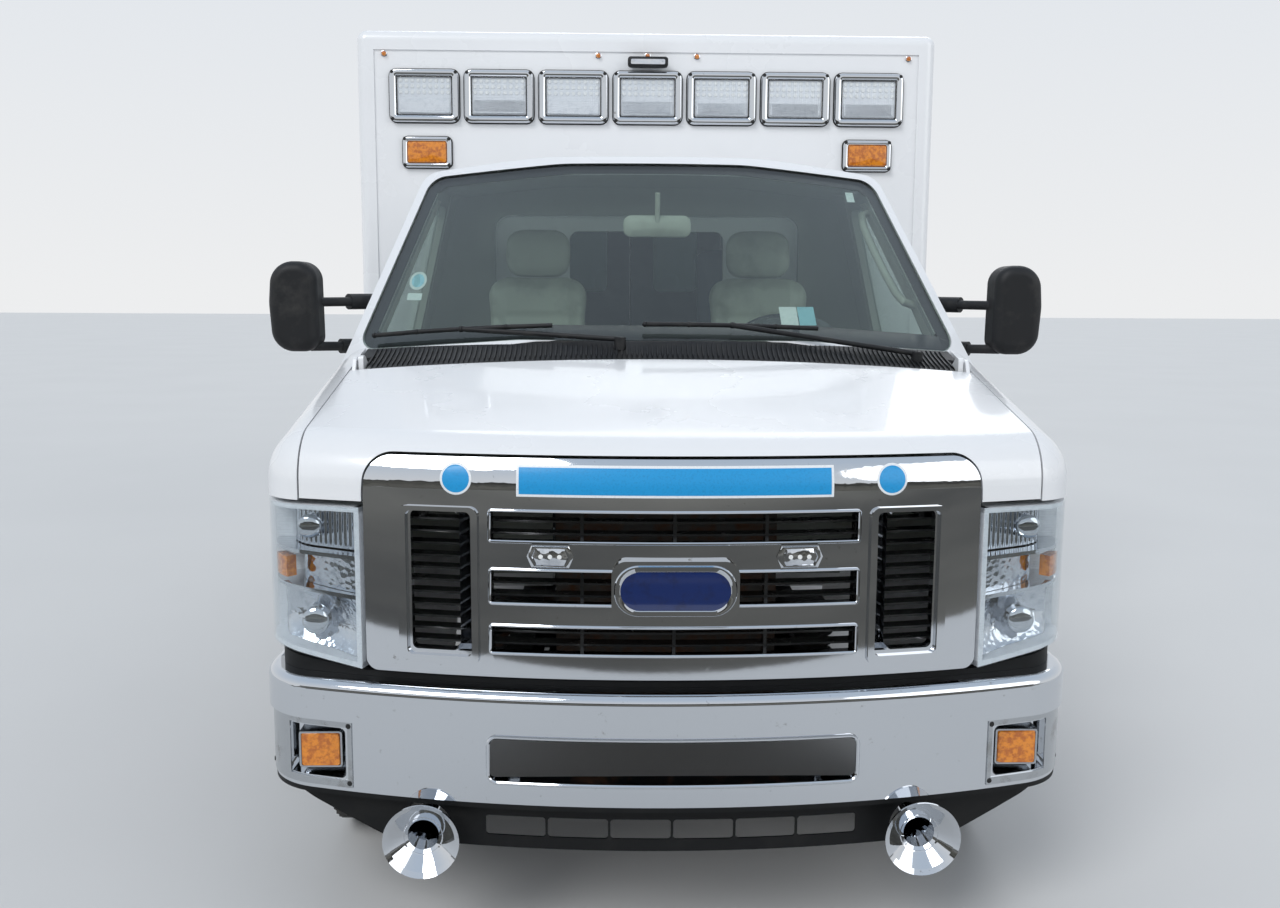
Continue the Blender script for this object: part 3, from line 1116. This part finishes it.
# Seats and cushions

# rings hold the share of the depth and the inset of each outline, from the back to the crowned face
padShape = {"rings": ((0, 18), (0.12, 4), (0.3, 0), (0.7, 0), (0.88, 5), (0.97, 18), (1, 40)),
            "voxel": 14, "cap": 22, "fill": 0.7}


def simulatePad(piece, cap):
    # a short inflation: the skin swells against its corners, no further than the cap
    before = [v.co.copy() for v in piece.data.vertices]
    cloth = piece.modifiers.new("cloth", "CLOTH")
    cloth.settings.quality = 4
    cloth.settings.use_pressure = True
    cloth.settings.uniform_pressure_force = 4
    cloth.settings.effector_weights.gravity = 0
    cloth.settings.tension_stiffness = 12
    cloth.settings.compression_stiffness = 12
    cloth.point_cache.frame_start, cloth.point_cache.frame_end = 1, 20
    for number in range(1, 21):
        scene.frame_set(number)
    mesh = evaluatedMesh(piece)
    for vertex, rest in zip(mesh.vertices, before):
        move = vertex.co - rest
        if move.length > cap * mm:
            vertex.co = rest + move.normalized() * cap * mm
    piece.modifiers.clear()
    piece.data = mesh
    scene.frame_set(1)


def makePad(name, finish, place, size, replaced=(), seams=()):
    # a crowned pad, remeshed and swollen, with its seams pressed in afterwards; a seam runs across or along
    width, height, depth, radius, crown = size
    parts = {}
    layers = []
    for share, inset in padShape["rings"]:
        points = roundedBox(width - 2 * inset, height - 2 * inset, max(12, radius - inset), 6)
        layers.append((points, depth * share + (crown if share == 1 else 0)))
    stack(parts, finish, place, layers)
    bm = parts[finish]
    bmesh.ops.recalc_face_normals(bm, faces=bm.faces)
    mesh = bpy.data.meshes.new(name)
    bm.to_mesh(mesh)
    bm.free()
    piece = newObject(name, mesh)
    remesh = piece.modifiers.new("remesh", "REMESH")
    remesh.mode = "VOXEL"
    remesh.voxel_size = padShape["voxel"] * mm
    mesh = evaluatedMesh(piece)
    piece.modifiers.clear()
    piece.data = mesh
    simulatePad(piece, padShape["cap"])
    origin, uStep, vStep = place(0, 0, 0), place(1, 0, 0) - place(0, 0, 0), place(0, 1, 0) - place(0, 0, 0)
    normal = uStep.cross(vStep).normalized()
    for vertex in piece.data.vertices:
        offset = vertex.co - origin
        if offset.dot(normal) < depth * mm * 0.5:
            continue
        u, v = (offset.dot(step) / step.length_squared for step in (uStep, vStep))
        for across, line, halfWidth, deep in seams:
            away = abs((v if across else u) - line)
            if away < halfWidth:
                vertex.co -= normal * deep * mm * (1 - (away / halfWidth) ** 2)
    smooth = piece.modifiers.new("smooth", "SUBSURF")
    smooth.levels = smooth.render_levels = 1
    mesh = evaluatedMesh(piece)
    bpy.data.objects.remove(piece)
    mesh.name = name
    for polygon in mesh.polygons:
        polygon.use_smooth = True
    finishPiece(name, mesh, finish, "body", replaced)


def makeSeats():
    for side, word in ((1, "driver"), (-1, "passenger")):
        x = side * 450
        leaning = dict(out=(0, -1, 0.17), up=(0, 0.17, 1))
        makePad("seat_cushion_" + word, "seatVinyl", facing(x, 1862, 985, out=(0, -0.06, 1), up=(0, 1, 0)),
                (440, 480, 105, 70, 6), ["cab_seats"] if side > 0 else (),
                ((False, -165, 22, 9), (False, 165, 22, 9), (True, -60, 18, 6)))
        makePad("seat_back_" + word, "seatVinyl", facing(x, 2222, 1395, **leaning), (425, 640, 95, 90, 6),
                seams=((False, -150, 22, 10), (False, 150, 22, 10), (True, 130, 18, 7)))
        makePad("seat_head_" + word, "seatVinyl", facing(x, 2274, 1790, **leaning), (260, 190, 70, 60, 5))
    for name, place, size, seams in (
            ("bench_cushion", facing(-880, 4735, 1184, out=(0, 0, 1), up=(0, 1, 0)), (540, 2200, 66, 40, 4),
             [(True, line, 20, 8) for line in (-700, 0, 700)]),
            ("bench_back", facing(-1164, 4740, 1560, out=(1, 0, 0)), (2190, 290, 50, 40, 4),
             [(False, line, 20, 8) for line in (-700, 0, 700)]),
            ("attendant_cushion", facing(420, 3062, 1104, out=(0, 0, 1), up=(0, -1, 0)), (420, 400, 84, 60, 6), ()),
            ("attendant_back", facing(420, 2800, 1515, out=(0, 1, 0)), (400, 690, 72, 70, 5), [(True, 120, 18, 7)])):
        makePad(name, "benchVinyl", place, size, seams=seams)
    # pedestals under the cab seats
    parts = {}
    for side in (-1, 1):
        base = facing(side * 450, 1860, 775.5, out=(0, 0, 1), up=(0, 1, 0))
        stack(parts, "grainedPolypropylene", base, boxes((380, 440, 30, 0), (376, 436, 30, 150), (410, 460, 40, 205)))
    finishParts(parts, {"grainedPolypropylene": "seat_pedestals"}, "body")


makeSeats()
print("seats made")


# Camera, light and floor

cameraSetup = {"place": (-0.15317, -6.16161, 1.63879), "yaw": -1.45066, "pitch": 7.76072, "roll": 0.31876,
               "lens": 33.229}


def makeCamera():
    yaw, pitch, roll = (math.radians(cameraSetup[k]) for k in ("yaw", "pitch", "roll"))
    ahead = Vector((-math.sin(yaw) * math.cos(pitch), math.cos(yaw) * math.cos(pitch), -math.sin(pitch)))
    right = Vector((math.cos(yaw), math.sin(yaw), 0))
    up = right.cross(ahead)
    tiltedRight = math.cos(roll) * right + math.sin(roll) * up
    tiltedUp = -math.sin(roll) * right + math.cos(roll) * up
    turn = Matrix((tiltedRight, tiltedUp, -ahead)).transposed().to_4x4()
    data = bpy.data.cameras.new("camera")
    data.sensor_width = 36
    data.sensor_fit = "HORIZONTAL"
    data.lens = cameraSetup["lens"]
    camera = newObject("camera", data)
    camera.matrix_world = Matrix.Translation(cameraSetup["place"]) @ turn
    scene.camera = camera


lamps = {"key": ((-6, -9, 11), 28, 1.35), "fill": ((8, -7, 5), 40, 0.5), "back": ((2, 10, 9), 40, 0.6)}
cards = {"standingCard": ((0, -13, 1.1), 90, (34, 2.2, 1)), "lyingCard": ((0, -9.3, 0.004), 0, (24, 7.2, 1))}
worldStrength = {"light": 0.64, "seen": 0.92}


def makeStudio():
    # each lamp is a soft sun: where it stands, its width in degrees and its strength
    scene.view_settings.view_transform = "Standard"
    world = bpy.data.worlds.new("studio")
    scene.world = world
    world.use_nodes = True
    tree = world.node_tree
    direction = addNode(tree, "ShaderNodeTexCoord").outputs["Generated"]
    height = addNode(tree, "ShaderNodeSeparateXYZ", {}, {0: direction}).outputs[2]
    rise = addNode(tree, "ShaderNodeMapRange", {}, {"Value": height, "From Min": 0.0, "From Max": 0.8}).outputs[0]
    sky = addNode(tree, "ShaderNodeMix", {"data_type": "RGBA"}, {
        0: rise, 6: linearColour("#F6F7F8"), 7: linearColour("#CFDDEE")}).outputs[2]
    path = addNode(tree, "ShaderNodeLightPath").outputs
    seen = addNode(tree, "ShaderNodeMath", {"operation": "MAXIMUM"}, {
        0: path["Is Camera Ray"], 1: path["Is Transmission Ray"]})
    plain = addNode(tree, "ShaderNodeMath", {"operation": "MAXIMUM"}, {0: seen.outputs[0], 1: path["Is Glossy Ray"]})
    strength = addNode(tree, "ShaderNodeMapRange", {}, {
        "Value": plain.outputs[0], "To Min": worldStrength["light"], "To Max": worldStrength["seen"]}).outputs[0]
    tree.links.new(sky, tree.nodes["Background"].inputs[0])
    tree.links.new(strength, tree.nodes["Background"].inputs[1])
    for name, (place, width, power) in lamps.items():
        data = bpy.data.lights.new(name, "SUN")
        data.angle = math.radians(width)
        data.energy = power
        lamp = newObject(name, data)
        lamp.location = place
        lamp.rotation_euler = (Vector((0, 0, 1.2)) - Vector(place)).to_track_quat("-Z", "Y").to_euler()
    # dark cards behind and under the camera, which only reflections see, so that bright plate has something to show
    cloth = makeFinish("darkCloth", dict(colour="#3A3833", stain="#8D887D", stainSize=900, cover=(0.38, 0.72),
                                         rough=(0.9, 0.95), grain=60, relief=0.5))
    for name, (place, turn, size) in cards.items():
        bpy.ops.mesh.primitive_plane_add(size=1, location=place, rotation=(math.radians(turn), 0, 0))
        card = bpy.context.object
        card.name = name
        card.scale = size
        card.visible_camera = card.visible_diffuse = card.visible_shadow = False
        card.data.materials.append(cloth)
    bpy.ops.mesh.primitive_plane_add(size=160)
    floor = bpy.context.object
    floor.name = "floor"
    material, floorTree = newMaterial("paleStudioFloor")
    shader = floorTree.nodes["Principled BSDF"]
    shader.inputs["Roughness"].default_value = 0.85
    place = addNode(floorTree, "ShaderNodeTexCoord").outputs["Object"]
    cloud = addNode(floorTree, "ShaderNodeTexNoise", {}, {"Vector": place, "Scale": 0.6}).outputs[0]
    tone = addNode(floorTree, "ShaderNodeMix", {"data_type": "RGBA"}, {
        0: cloud, 6: linearColour("#D6D6D5"), 7: linearColour("#D0D0CF")}).outputs[2]
    floorTree.links.new(tone, shader.inputs["Base Color"])
    floor.data.materials.append(material)


makeCamera()
makeStudio()
print("camera and studio made")
